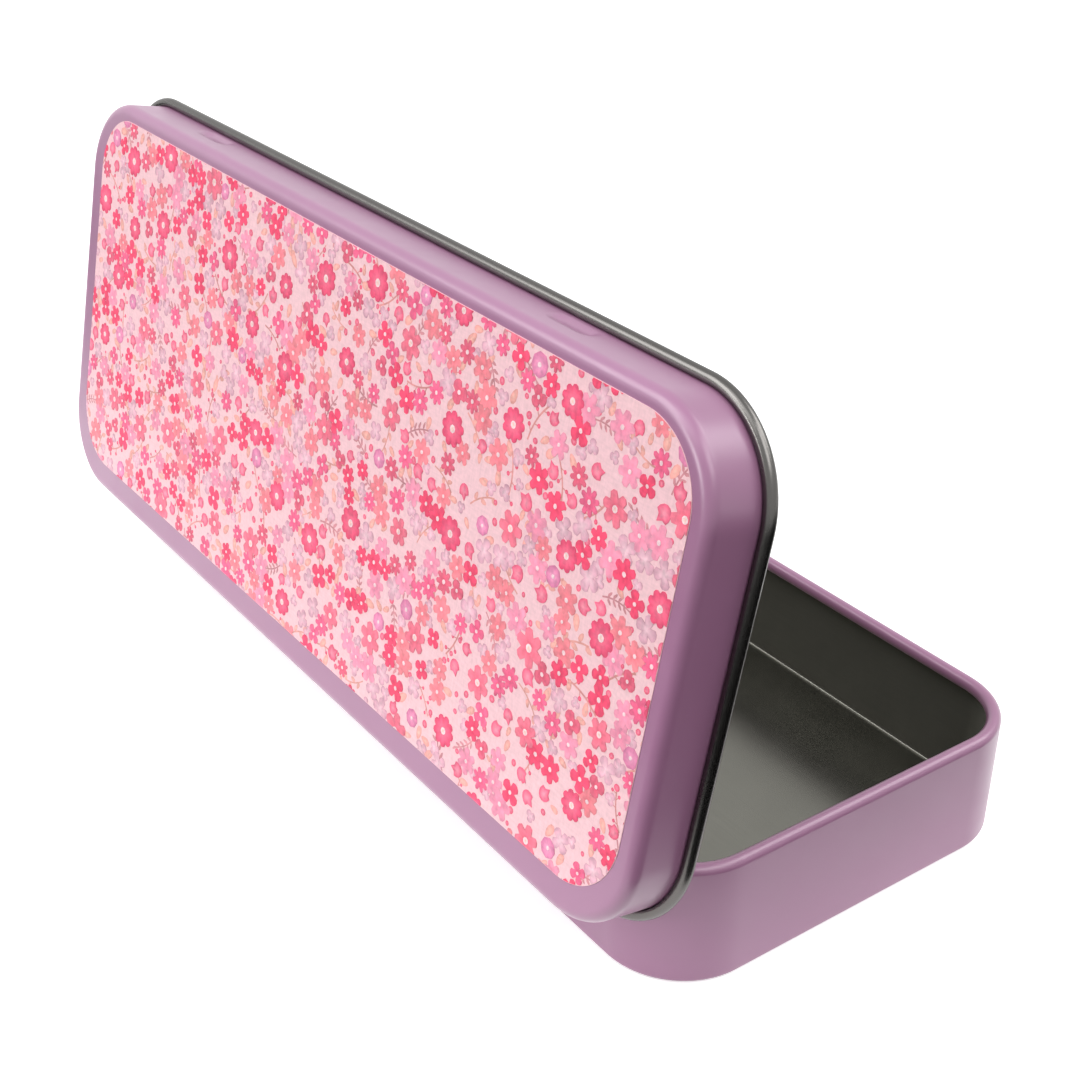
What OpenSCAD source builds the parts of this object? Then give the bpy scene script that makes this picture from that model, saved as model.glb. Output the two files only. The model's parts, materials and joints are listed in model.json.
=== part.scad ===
// Hinged sheet metal pencil tin, drawn with its lid standing open.
// X runs along the tin, the front is at -Y, the hinge is at +Y and Z is up.
// The origin is the middle of the underside of the base.

/* [Tin] */
// Length of the lid over its skirt
lid_length = 190; // [180:0.5:230]
// Width of the lid over its skirt
lid_width = 79.5; // [70:0.5:110]
// Radius of the lid's corners, seen from above
corner_radius = 15; // [10:0.5:24]
// Thickness of the tinplate sheet
sheet_t = 0.3; // [0.2:0.05:0.4]
// Side gap between the lid's skirt and the wall of the base
slip_gap = 0.65; // [0.6:0.05:0.9]

/* [Base] */
// Height of the base over its rolled rim
base_height = 21.7; // [18:0.1:34]
// Outside radius where the wall turns into the floor
foot_radius = 0.9; // [0.6:0.1:3]
// Diameter of the rim, which is rolled inwards
rim_d = 2.4; // [1.8:0.1:3]

/* [Lid] */
// Depth of the lid from its top sheet to the underside of the bead
lid_depth = 10.7; // [9:0.1:14]
// Outside radius where the top turns into the skirt
lid_edge_radius = 1.9; // [1:0.1:3.2]
// Diameter of the bead, which is rolled outwards
bead_d = 2; // [1.8:0.1:2.6]
// Gap between the closed lid and the rolled rim
rest_gap = 0.2; // [0.1:0.05:0.5]
// Angle that the lid stands open
open_angle = 79; // [0:1:180]

/* [Rolled edges] */
// Opening that the end of the sheet leaves beside a rolled edge
seam_gap = 0.35; // [0.2:0.05:0.5]

/* [Snap dents] */
// Distance of each dent's middle from the end of the lid
dent_inset = 40; // [30:1:60]
// Length of a dent
dent_length = 10.5; // [6:0.5:16]
// Width of a dent
dent_width = 3.4; // [2:0.1:4]
// Depth of a dent
dent_depth = 0.2; // [0.1:0.05:0.25]
// Height of a dent's middle above the bead
dent_rise = 2.4; // [2:0.1:3.4]

/* [Printed insert] */
// Thickness of the printed insert on the lid
insert_t = 0.2; // [0.1:0.05:0.4]
// Margin of the top that stays bare at each end of the insert
insert_end_margin = 4.5; // [4:0.25:12]
// Margin of the top that stays bare along each side of the insert
insert_side_margin = 4.25; // [4.25:0.25:10]
// Radius of the insert's corners
insert_radius = 11.7; // [6:0.1:14]
// Shift of the insert along the tin, where it was laid a little off centre
insert_shift_x = -1; // [-1.2:0.1:1.2]
// Shift of the insert across the tin, where it was laid a little off centre
insert_shift_y = -1.6; // [-1.8:0.1:1.8]

/* [Hinge] */
// Distance of each hinge strap's middle from the end of the lid
hinge_inset = 35; // [33:1:60]
// Width of a strap
strap_width = 12; // [8:0.5:16]
// Height of the leaf that is welded to the base
leaf_height = 5.5; // [4:0.1:7]
// Length of a hinge wire
wire_length = 30; // [24:0.5:36]
// Radial running clearance of the wire in its eye
wire_clearance = 0.05; // [0.02:0.01:0.09]
// End gap between a strap and the cut bead
notch_gap = 0.4; // [0.3:0.05:0.8]
// Diameter of a spot weld mark
weld_d = 1.8; // [1:0.1:2.4]
// Depth of a spot weld mark
weld_depth = 0.08; // [0.05:0.01:0.12]

/* [Hidden] */
$fn = 64;
eps = 0.01;
lilac = [0.75, 0.61, 0.71];
tinplate = [0.55, 0.55, 0.53];
print_pink = [0.98, 0.74, 0.79];

base_inset = sheet_t + slip_gap;
base_length = lid_length - 2 * base_inset;
base_width = lid_width - 2 * base_inset;
base_radius = corner_radius - base_inset;
rim_r = rim_d / 2;
bead_r = bead_d / 2;
bead_out = bead_r - sheet_t;

// The hinge turns about the middle of the rear bead.
lid_top_z = base_height + rest_gap + sheet_t;
axis_y = lid_width / 2 + bead_out;
axis_z = lid_top_z - lid_depth + bead_r;

hinge_x = lid_length / 2 - hinge_inset;
dent_x = lid_length / 2 - dent_inset;
insert_length = lid_length - 2 * insert_end_margin;
insert_width = lid_width - 2 * insert_side_margin;

bore_r = bead_r - sheet_t;
wire_r = bore_r - wire_clearance;
wall_y = base_width / 2;
notch_width = strap_width + 2 * notch_gap;

// A flat shape with rounded corners, l by w.
module rounded_rect(l, w, r) {
    square([l - 2 * r, w], center = true);
    square([l, w - 2 * r], center = true);
    for (sx = [-1, 1], sy = [-1, 1])
        translate([sx * (l / 2 - r), sy * (w / 2 - r)]) circle(r);
}

// Carries a wall profile round a rectangle with rounded corners.
// The profile's x is the distance outwards from the corner's centre.
module round_the_tin(l, w, r) {
    run_x = l - 2 * r;
    run_y = w - 2 * r;
    for (turn = [0, 180]) rotate([0, 0, turn]) {
        translate([-run_x / 2, run_y / 2, 0])
            rotate([90, 0, 90]) linear_extrude(run_x) children();
        translate([run_x / 2, run_y / 2, 0])
            rotate([90, 0, 0]) linear_extrude(run_y) children();
        translate([run_x / 2, run_y / 2, 0])
            rotate_extrude(angle = 90) children();
        translate([-run_x / 2, run_y / 2, 0])
            rotate([0, 0, 90]) rotate_extrude(angle = 90) children();
    }
}

// A quarter of a bent sheet, centred at the origin and bulging to +x and up or down.
module bent_quarter(r, up) {
    intersection() {
        difference() {
            circle(r);
            circle(r - sheet_t);
        }
        translate([0, up ? 0 : -r]) square([r, r]);
    }
}

// A rolled edge as a tube of sheet with a seam beside the wall.
module rolled_edge(r, seam_x, seam_y) {
    difference() {
        circle(r);
        circle(r - sheet_t);
        translate([seam_x, seam_y]) square([seam_gap, r + eps]);
    }
}

module base_profile() {
    translate([base_radius - foot_radius, foot_radius]) bent_quarter(foot_radius, false);
    square([base_radius - foot_radius, sheet_t]);
    translate([base_radius - sheet_t, foot_radius])
        square([sheet_t, base_height - rim_r - foot_radius]);
    translate([base_radius - rim_r, base_height - rim_r])
        rolled_edge(rim_r, rim_r - sheet_t - seam_gap, -rim_r - eps);
}

// Drawn base: floor, wall and a rim that is rolled inwards.
module base_shell() {
    color(lilac) {
        round_the_tin(base_length, base_width, base_radius) base_profile();
        translate([0, 0, sheet_t / 2])
            cube([base_length - 2 * base_radius, base_width - 2 * base_radius, sheet_t], center = true);
    }
}

module lid_profile() {
    translate([corner_radius - lid_edge_radius, lid_top_z - lid_edge_radius])
        bent_quarter(lid_edge_radius, true);
    translate([0, lid_top_z - sheet_t]) square([corner_radius - lid_edge_radius, sheet_t]);
    translate([corner_radius - sheet_t, axis_z])
        square([sheet_t, lid_top_z - lid_edge_radius - axis_z]);
    translate([corner_radius + bead_out, axis_z]) rolled_edge(bead_r, -bead_out, 0);
}

// The dented line of a snap dent, as a capsule with the given nose radius.
module dent_tool(x, nose_r, centre_y) {
    dent_z = axis_z + bead_r + dent_rise;
    straight = dent_length - dent_width;
    translate([x, centre_y, dent_z]) {
        rotate([0, 90, 0]) cylinder(h = straight, r = nose_r, center = true);
        for (sx = [-1, 1]) translate([sx * straight / 2, 0, 0]) sphere(nose_r);
    }
}

// Lid drawn closed: top, skirt, bead and dents, with the bead cut away at the hinges.
module closed_lid() {
    nose_r = (pow(dent_width / 2, 2) + pow(dent_depth, 2)) / (2 * dent_depth);
    face_y = -lid_width / 2;
    centre_y = face_y + dent_depth - nose_r;
    notch_rise = bead_r + notch_gap;
    difference() {
        union() {
            round_the_tin(lid_length, lid_width, corner_radius) lid_profile();
            translate([0, 0, lid_top_z - sheet_t / 2])
                cube([lid_length - 2 * corner_radius, lid_width - 2 * corner_radius, sheet_t],
                     center = true);
            for (sx = [-1, 1]) intersection() {
                dent_tool(sx * dent_x, nose_r + sheet_t, centre_y);
                translate([sx * dent_x, face_y + sheet_t / 2 + dent_depth, lid_top_z - lid_depth / 2])
                    cube([2 * dent_length, sheet_t + 2 * dent_depth, lid_depth - sheet_t], center = true);
            }
        }
        for (sx = [-1, 1]) {
            dent_tool(sx * dent_x, nose_r, centre_y);
            translate([sx * hinge_x, axis_y, axis_z - bead_r + (bead_r + notch_rise) / 2 - eps])
                cube([notch_width, 2 * bead_d, bead_r + notch_rise + 2 * eps], center = true);
        }
    }
}

// Turns a closed lid piece about the hinge to where it stands open.
module opened() {
    translate([0, axis_y, axis_z]) rotate([-open_angle, 0, 0])
        translate([0, -axis_y, -axis_z]) children();
}

module lid_shell() {
    color(lilac) opened() closed_lid();
}

// Thin printed sheet that is bonded to the flat top of the lid.
module printed_insert() {
    color(print_pink) opened()
        translate([insert_shift_x, insert_shift_y, lid_top_z])
            linear_extrude(insert_t) rounded_rect(insert_length, insert_width, insert_radius);
}

// Side view of a strap: a leaf on the wall, a step outwards and the eye round the wire.
module strap_profile() {
    leaf_out = wall_y - axis_y;
    leaf_top = -bead_r - sheet_t;
    translate([leaf_out, leaf_top - leaf_height]) square([sheet_t, leaf_height]);
    polygon([
        [leaf_out, leaf_top], [leaf_out + sheet_t, leaf_top - sheet_t],
        [-bore_r, -bore_r], [-bore_r, 0], [-bead_r, 0], [-bead_r, -bore_r],
    ]);
    circle(bead_r);
}

module hinge_strap(x) {
    leaf_middle = axis_z - bead_r - sheet_t - leaf_height / 2;
    color(tinplate) difference() {
        translate([x - strap_width / 2, axis_y, axis_z])
            rotate([90, 0, 90]) linear_extrude(strap_width) strap_profile();
        translate([x, axis_y, axis_z])
            rotate([0, 90, 0]) cylinder(h = strap_width + 2 * eps, r = bore_r, center = true);
        for (sx = [-1, 1])
            translate([x + sx * strap_width / 4, wall_y + sheet_t - weld_depth, leaf_middle])
                rotate([-90, 0, 0]) cylinder(h = weld_depth + eps, d = weld_d);
    }
}

// Steel wire that is held in the rear bead and turns in the eye of the strap.
module hinge_wire(x) {
    color(tinplate) translate([x, axis_y, axis_z])
        rotate([0, 90, 0]) cylinder(h = wire_length, r = wire_r, center = true);
}

base_shell();
hinge_strap(hinge_x);  // hinge_strap_left
hinge_strap(-hinge_x);  // hinge_strap_right
lid_shell();
printed_insert();
hinge_wire(hinge_x);  // hinge_wire_left
hinge_wire(-hinge_x);  // hinge_wire_right
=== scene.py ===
"""A hinged tin for colored pencils with a floral print on its lid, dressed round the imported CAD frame."""

import json
import logging
import math
from collections.abc import Iterable, Sequence
from dataclasses import dataclass
from enum import Enum

import bmesh
import bpy
import numpy as np
from mathutils import Matrix, Quaternion, Vector

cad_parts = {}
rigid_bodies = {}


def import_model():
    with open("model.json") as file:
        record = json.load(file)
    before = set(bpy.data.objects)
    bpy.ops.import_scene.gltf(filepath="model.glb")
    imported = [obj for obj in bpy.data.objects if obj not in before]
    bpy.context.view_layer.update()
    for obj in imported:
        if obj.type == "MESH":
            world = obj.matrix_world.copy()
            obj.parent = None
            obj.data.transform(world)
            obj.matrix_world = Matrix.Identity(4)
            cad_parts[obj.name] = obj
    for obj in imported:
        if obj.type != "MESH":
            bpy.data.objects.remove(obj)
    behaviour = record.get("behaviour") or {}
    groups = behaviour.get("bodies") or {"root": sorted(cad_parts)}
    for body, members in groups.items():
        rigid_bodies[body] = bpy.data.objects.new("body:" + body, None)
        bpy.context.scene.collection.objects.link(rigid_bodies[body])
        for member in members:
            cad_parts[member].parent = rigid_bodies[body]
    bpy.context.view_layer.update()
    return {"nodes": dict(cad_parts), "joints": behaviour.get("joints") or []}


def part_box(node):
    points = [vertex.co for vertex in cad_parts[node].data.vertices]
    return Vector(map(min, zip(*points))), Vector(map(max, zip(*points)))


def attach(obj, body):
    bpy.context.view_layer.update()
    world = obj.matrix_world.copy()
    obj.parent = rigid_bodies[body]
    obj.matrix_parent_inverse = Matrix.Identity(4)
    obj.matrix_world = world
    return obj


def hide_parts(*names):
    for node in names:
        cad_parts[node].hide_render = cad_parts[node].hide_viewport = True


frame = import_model()

log = logging.getLogger("pencil_tin")
MM = 0.001
WELD = 1e-5
HAIR = 1e-6
LILAC = "#A77597"
WHITE = "#FFFFFF"
Point = tuple[float, float]
Stations = tuple[np.ndarray, np.ndarray]
Mesh = bpy.types.Mesh
Tree = bpy.types.NodeTree
Node = bpy.types.Node
Socket = bpy.types.NodeSocket


def linear(code: str) -> tuple[float, float, float, float]:
    """Turns an sRGB hex colour into linear RGBA.

    Args:
        code: the colour, such as #B589A6.

    Returns:
        Red, green, blue and a full alpha.
    """
    parts = [int(code[start : start + 2], 16) / 255 for start in (1, 3, 5)]
    red, green, blue = (c / 12.92 if c <= 0.04045 else ((c + 0.055) / 1.055) ** 2.4 for c in parts)
    return red, green, blue, 1.0


def add(tree: Tree, kind: str, inputs: dict | None = None, **settings: object) -> Node:
    """Adds one node to a tree with its settings, values and links.

    Args:
        tree: the node tree.
        kind: the node's type.
        inputs: for a socket's name or number, the value it takes or the output that feeds it.
        **settings: the node's own properties.

    Returns:
        The new node.
    """
    node = tree.nodes.new(kind)
    for name, value in settings.items():
        setattr(node, name, value)
    for socket, value in (inputs or {}).items():
        if isinstance(value, Socket):
            tree.links.new(value, node.inputs[socket])
        else:
            node.inputs[socket].default_value = value
    return node


def new_material(name: str) -> tuple[bpy.types.Material, Tree]:
    """Starts a material.

    Args:
        name: its name.

    Returns:
        The material and its empty node tree.
    """
    material = bpy.data.materials.new(name)
    material.use_nodes = True
    material.node_tree.nodes.clear()
    return material, material.node_tree


def new_object(name: str, data: bpy.types.ID) -> bpy.types.Object:
    """Makes an object and puts it in the scene.

    Args:
        name: its name.
        data: the mesh, curve, light or camera that it shows.

    Returns:
        The object.
    """
    made = bpy.data.objects.new(name, data)
    bpy.context.scene.collection.objects.link(made)
    return made


def new_mesh(name: str, points: Sequence, faces: Sequence) -> Mesh:
    """Makes a mesh.

    Args:
        name: its name.
        points: its points.
        faces: for each face, the numbers of its points.

    Returns:
        The mesh.
    """
    mesh = bpy.data.meshes.new(name)
    mesh.from_pydata(points, [], faces)
    return mesh


def new_rectangle(name: str, middle: tuple[float, float, float], half: Point) -> Mesh:
    """Makes a level rectangle.

    Args:
        name: its name.
        middle: its middle.
        half: half of its length and half of its width.

    Returns:
        The mesh.
    """
    signs = ((-1, -1), (1, -1), (1, 1), (-1, 1))
    points = [(middle[0] + sx * half[0], middle[1] + sy * half[1], middle[2]) for sx, sy in signs]
    return new_mesh(name, points, [(0, 1, 2, 3)])


@dataclass(frozen=True)
class Finish:
    """What every finish shares. Its pattern is laid in millimetres, flat on the closed tin."""

    name: str
    colour: str
    turn: float = 0.0

    def material(self) -> bpy.types.Material:
        """Makes the finish's material.

        Returns:
            A material whose one shader is dressed by the finish's own paint().
        """
        material, tree = new_material(self.name)
        seen = add(tree, "ShaderNodeTexCoord").outputs["Object"]
        laid = {"Vector": seen, "Rotation": (math.radians(self.turn), 0, 0), "Scale": (1 / MM,) * 3}
        place = add(tree, "ShaderNodeMapping", laid).outputs["Vector"]
        shader = add(tree, "ShaderNodeBsdfPrincipled", self.paint(tree, place))
        add(tree, "ShaderNodeOutputMaterial", {"Surface": shader.outputs["BSDF"]})
        return material

    def paint(self, tree: Tree, place: Socket) -> dict[str, object]:
        """Gives what the shader's sockets take; each finish has its own way."""
        raise NotImplementedError

    @staticmethod
    def grain(tree: Tree, place: Socket, pitch: Sequence[float], detail: float = 2.0) -> Socket:
        """Lays a random grain of a real size.

        Args:
            tree: the material's tree.
            place: the place in millimetres.
            pitch: size of a grain along X, Y and Z in millimetres.
            detail: octaves of finer grain.

        Returns:
            The grain's value, about 0.5 on average.
        """
        scale = {"Vector": place, "Scale": tuple(1 / p for p in pitch)}
        scaled = add(tree, "ShaderNodeMapping", scale).outputs["Vector"]
        noise = {"Vector": scaled, "Scale": 1.0, "Detail": detail}
        return add(tree, "ShaderNodeTexNoise", noise).outputs["Fac"]

    @staticmethod
    def spread(tree: Tree, value: Socket, ends: Point) -> Socket:
        """Spreads a grain's usual values over a range.

        Args:
            tree: the material's tree.
            value: the grain.
            ends: what a low and what a high value of it become.

        Returns:
            The spread value.
        """
        usual_low, usual_high = 0.3, 0.7
        inputs = {"Value": value, 1: usual_low, 2: usual_high, 3: ends[0], 4: ends[1]}
        return add(tree, "ShaderNodeMapRange", inputs).outputs["Result"]

    def uneven(self, tree: Tree, value: Socket, shade: Point) -> Socket:
        """Lays the finish's colour, a little uneven.

        Args:
            tree: the material's tree.
            value: the grain that makes it uneven.
            shade: how bright its darkest and its lightest places are beside the colour.

        Returns:
            The colour.
        """
        inputs = {0: linear(self.colour)[:3], "Scale": self.spread(tree, value, shade)}
        return add(tree, "ShaderNodeVectorMath", inputs, operation="SCALE").outputs["Vector"]


@dataclass(frozen=True)
class SatinLacquer(Finish):
    """Roller-coated, stoved lilac lacquer on tinplate: satin, even, with a faint orange peel in its gloss."""

    shade: Point = (0.975, 1.025)
    roughness: Point = (0.3, 0.38)
    cloud_pitch: float = 22.0
    gloss_pitch: float = 5.5
    peel_pitch: float = 0.7
    peel_height: float = 0.0012
    ior: float = 1.52
    coat: float = 0.5
    coat_roughness: float = 0.28

    def paint(self, tree: Tree, place: Socket) -> dict[str, object]:
        """Lays an even coat whose colour and gloss vary a little.

        Args:
            tree: the material's tree.
            place: the place in millimetres.

        Returns:
            What the shader's sockets take.
        """
        clouds = self.grain(tree, place, (self.cloud_pitch,) * 3)
        gloss = self.grain(tree, place, (self.gloss_pitch,) * 3)
        peel = self.grain(tree, place, (self.peel_pitch,) * 3, 1.0)
        bump = add(tree, "ShaderNodeBump", {"Height": peel, "Distance": self.peel_height * MM})
        return {
            "Base Color": self.uneven(tree, clouds, self.shade),
            "Roughness": self.spread(tree, gloss, self.roughness),
            "Normal": bump.outputs["Normal"],
            "IOR": self.ior,
            "Coat Weight": self.coat,
            "Coat Roughness": self.coat_roughness,
        }


@dataclass(frozen=True)
class Tinplate(Finish):
    """Cold-rolled, tinned steel sheet: dull grey metal with rolling lines along it and light rub marks.

    Where it was drawn up into a wall, its tin is stretched and duller. Real rolling lines are finer than
    these, which are drawn as coarse as they need to show.
    """

    shade: Point = (0.94, 1.06)
    roughness: Point = (0.23, 0.27)
    line_length: float = 14.0
    line_width: float = 0.22
    rub_pitch: float = 9.0
    metallic: float = 0.96
    wall_from: float | None = None
    wall_metallic: float = 0.45

    def paint(self, tree: Tree, place: Socket) -> dict[str, object]:
        """Lays rolling lines and rub marks.

        Args:
            tree: the material's tree.
            place: the place in millimetres.

        Returns:
            What the shader's sockets take.
        """
        lines = self.grain(tree, place, (self.line_length, self.line_width, self.line_width), 3.0)
        rubs = self.grain(tree, place, (self.rub_pitch,) * 3, 4.0)
        both = add(tree, "ShaderNodeMath", {0: lines, 1: rubs}, operation="ADD").outputs[0]
        mean = add(tree, "ShaderNodeMath", {0: both, 1: 0.5}, operation="MULTIPLY").outputs[0]
        metallic: object = self.metallic
        if self.wall_from is not None:
            height = add(tree, "ShaderNodeSeparateXYZ", {0: place}).outputs["Z"]
            drawn = {1: self.wall_from, 2: 2 * self.wall_from, 3: self.metallic, 4: self.wall_metallic}
            metallic = add(tree, "ShaderNodeMapRange", {"Value": height, **drawn}).outputs["Result"]
        return {
            "Base Color": self.uneven(tree, mean, self.shade),
            "Roughness": self.spread(tree, mean, self.roughness),
            "Metallic": metallic,
        }


@dataclass(frozen=True)
class DrawnWire(Finish):
    """Drawn steel wire: bright metal with die lines along it, drawn as coarse as they need to show."""

    shade: Point = (0.9, 1.08)
    roughness: Point = (0.19, 0.32)
    line_length: float = 20.0
    line_width: float = 0.08

    def paint(self, tree: Tree, place: Socket) -> dict[str, object]:
        """Lays die lines along X.

        Args:
            tree: the material's tree.
            place: the place in millimetres.

        Returns:
            What the shader's sockets take.
        """
        lines = self.grain(tree, place, (self.line_length, self.line_width, self.line_width))
        return {
            "Base Color": self.uneven(tree, lines, self.shade),
            "Roughness": self.spread(tree, lines, self.roughness),
            "Metallic": 1.0,
        }


@dataclass(frozen=True)
class PrintInk(Finish):
    """Matt ink or coating on a printed sheet: a little mottled, over the sheet's linen grain.

    Where it prints motifs, each has its own tint and a second colour at its heart, its petals are
    streaked, and the ink has dried darker along its edge. The grain is drawn as coarse as it needs to show.
    """

    inner: str = ""
    mottle_pitch: float = 0.8
    mottle: float = 0.06
    thread_pitch: float = 0.42
    thread_length: float = 1.68
    thread: float = 0.07
    thread_height: float = 0.012
    heart: Point = (0.1, 0.8)
    tint: float = 0.08
    streak: float = 0.12
    streak_width: float = 0.45
    streak_shift: float = 40.0
    edge: float = 0.2
    edge_from: float = 0.74
    roughness: float = 0.55
    ior: float = 1.4

    def paint(self, tree: Tree, place: Socket) -> dict[str, object]:
        """Lays mottled colour over the sheet's grain.

        Args:
            tree: the material's tree.
            place: the place in millimetres.

        Returns:
            What the shader's sockets take.
        """
        blots = self.grain(tree, place, (self.mottle_pitch,) * 3, 3.0)
        weft = self.grain(tree, place, (self.thread_pitch, self.thread_length, 1.0), 1.0)
        warp = self.grain(tree, place, (self.thread_length, self.thread_pitch, 1.0), 1.0)
        threads = add(tree, "ShaderNodeMath", {0: weft, 1: warp}, operation="ADD").outputs[0]
        mean = add(tree, "ShaderNodeMath", {0: threads, 1: 0.5}, operation="MULTIPLY").outputs[0]
        shares = [self.spread(tree, blots, (-self.mottle, self.mottle))]
        shares.append(self.spread(tree, mean, (-self.thread, self.thread)))
        colours = {"A": linear(self.colour), "B": linear(self.inner or self.colour), "Factor": 0.0}
        if self.inner:
            colours["Factor"], more = self.brushwork(tree)
            shares += more
        mixed = add(tree, "ShaderNodeMix", colours, data_type="RGBA").outputs["Result"]
        bright: object = 1.0
        for share in shares:
            bright = add(tree, "ShaderNodeMath", {0: share, 1: bright}, operation="ADD").outputs[0]
        colour = add(tree, "ShaderNodeVectorMath", {0: mixed, "Scale": bright}, operation="SCALE")
        bump = add(tree, "ShaderNodeBump", {"Height": threads, "Distance": self.thread_height * MM})
        return {
            "Base Color": colour.outputs["Vector"],
            "Normal": bump.outputs["Normal"],
            "Roughness": self.roughness,
            "IOR": self.ior,
        }

    def brushwork(self, tree: Tree) -> tuple[Socket, list[Socket]]:
        """Lays what a motif's own shape gives its ink.

        Args:
            tree: the material's tree.

        Returns:
            How much of the inner colour shows, and how much brighter or darker each effect makes the ink.
        """
        spot = add(tree, "ShaderNodeAttribute", attribute_name="spot").outputs["Vector"]
        rim = add(tree, "ShaderNodeAttribute", attribute_name="rim").outputs["Fac"]
        tint = add(tree, "ShaderNodeAttribute", attribute_name="tint").outputs["Fac"]
        around = add(tree, "ShaderNodeVectorMath", {0: spot}, operation="NORMALIZE").outputs["Vector"]
        apart = add(tree, "ShaderNodeVectorMath", {0: tint, "Scale": self.streak_shift}, operation="SCALE")
        own = add(tree, "ShaderNodeVectorMath", {0: around, 1: apart.outputs["Vector"]}, operation="ADD")
        petals = self.grain(tree, own.outputs["Vector"], (self.streak_width,) * 3, 1.0)
        ranges = (
            {"Value": rim, 1: self.heart[0], 2: self.heart[1], 3: 1.0, 4: 0.0},
            {"Value": rim, 1: self.edge_from, 2: 1.0, 3: 0.0, 4: -self.edge},
            {"Value": tint, 3: -self.tint, 4: self.tint},
        )
        inwards, dried, tinted = (add(tree, "ShaderNodeMapRange", r).outputs["Result"] for r in ranges)
        return inwards, [self.spread(tree, petals, (-self.streak, self.streak)), dried, tinted]


def closed(mesh: Mesh, sharp: float = 35.0) -> Mesh:
    """Cleans a mesh, turns its faces outwards and shades it smooth between its sharp edges.

    Args:
        mesh: the mesh, whose faces close.
        sharp: the angle in degrees past which an edge is sharp.

    Returns:
        The same mesh.
    """
    work = bmesh.new()
    work.from_mesh(mesh)
    bmesh.ops.remove_doubles(work, verts=work.verts, dist=WELD)
    bmesh.ops.delete(work, geom=[v for v in work.verts if not v.link_faces], context="VERTS")
    bmesh.ops.recalc_face_normals(work, faces=work.faces)
    if work.calc_volume(signed=True) < 0:
        bmesh.ops.reverse_faces(work, faces=work.faces)
    work.to_mesh(mesh)
    work.free()
    mesh.shade_smooth()
    mesh.set_sharp_from_angle(angle=math.radians(sharp))
    return mesh


def settle(mesh: Mesh, place: Matrix, finish: Finish, body: str, nodes: Iterable[str]) -> None:
    """Makes a piece of a mesh: puts its place in its vertices, dresses it and ties it to the frame.

    Args:
        mesh: the mesh in millimetres, as on the closed tin.
        place: where the piece stands, from the closed tin.
        finish: its finish.
        body: the body that it rides on.
        nodes: the CAD nodes that it stands for.
    """
    mesh.transform(place @ Matrix.Scale(MM, 4))
    mesh.materials.clear()
    mesh.materials.append(finish.material())
    piece = new_object(mesh.name, mesh)
    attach(piece, body)
    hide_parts(*nodes)
    log.info("%s: %d faces, on %s", piece.name, len(mesh.polygons), body)


def run_nodes(tree: Tree, host: bpy.types.ID, values: dict[str, object], name: str) -> Mesh:
    """Runs a Geometry Nodes tree on a curve or mesh and keeps the result as a plain mesh.

    Args:
        tree: the tree.
        host: the curve or mesh that the tree starts from.
        values: for each named input of the tree, its value.
        name: the new mesh's name.

    Returns:
        The mesh, with no modifier and no instances left.
    """
    carrier = new_object(name + "_work", host)
    modifier = carrier.modifiers.new("nodes", "NODES")
    modifier.node_group = tree
    sockets = {s.name: s.identifier for s in tree.interface.items_tree if s.in_out == "INPUT"}
    for title, value in values.items():
        modifier[sockets[title]] = value
    bpy.context.view_layer.update()
    graph = bpy.context.evaluated_depsgraph_get()
    made = bpy.data.meshes.new_from_object(carrier.evaluated_get(graph))
    made.name = name
    carrier.modifiers.remove(modifier)
    bpy.data.objects.remove(carrier)
    return made


def new_tree(name: str, sockets: dict[str, str]) -> tuple[Tree, dict[str, Socket]]:
    """Starts a Geometry Nodes tree with named inputs.

    Args:
        name: the tree's name.
        sockets: for each input after the geometry, the kind of value that it takes.

    Returns:
        The tree and its inputs by name.
    """
    tree = bpy.data.node_groups.new(name, "GeometryNodeTree")
    tree.interface.new_socket("Geometry", in_out="OUTPUT", socket_type="NodeSocketGeometry")
    for title, kind in {"Geometry": "Geometry", **sockets}.items():
        tree.interface.new_socket(title, in_out="INPUT", socket_type="NodeSocket" + kind)
    given = add(tree, "NodeGroupInput").outputs
    return tree, {title: given[title] for title in ("Geometry", *sockets)}


def end_tree(tree: Tree, geometry: Socket, material: Socket) -> None:
    """Ends a tree: real geometry, its material, and the output.

    Args:
        tree: the tree.
        geometry: what it made.
        material: the input that holds the material.
    """
    real = add(tree, "GeometryNodeRealizeInstances", {"Geometry": geometry})
    dressed = add(tree, "GeometryNodeSetMaterial", {"Geometry": real.outputs[0], "Material": material})
    add(tree, "NodeGroupOutput", {"Geometry": dressed.outputs[0]})


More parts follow.
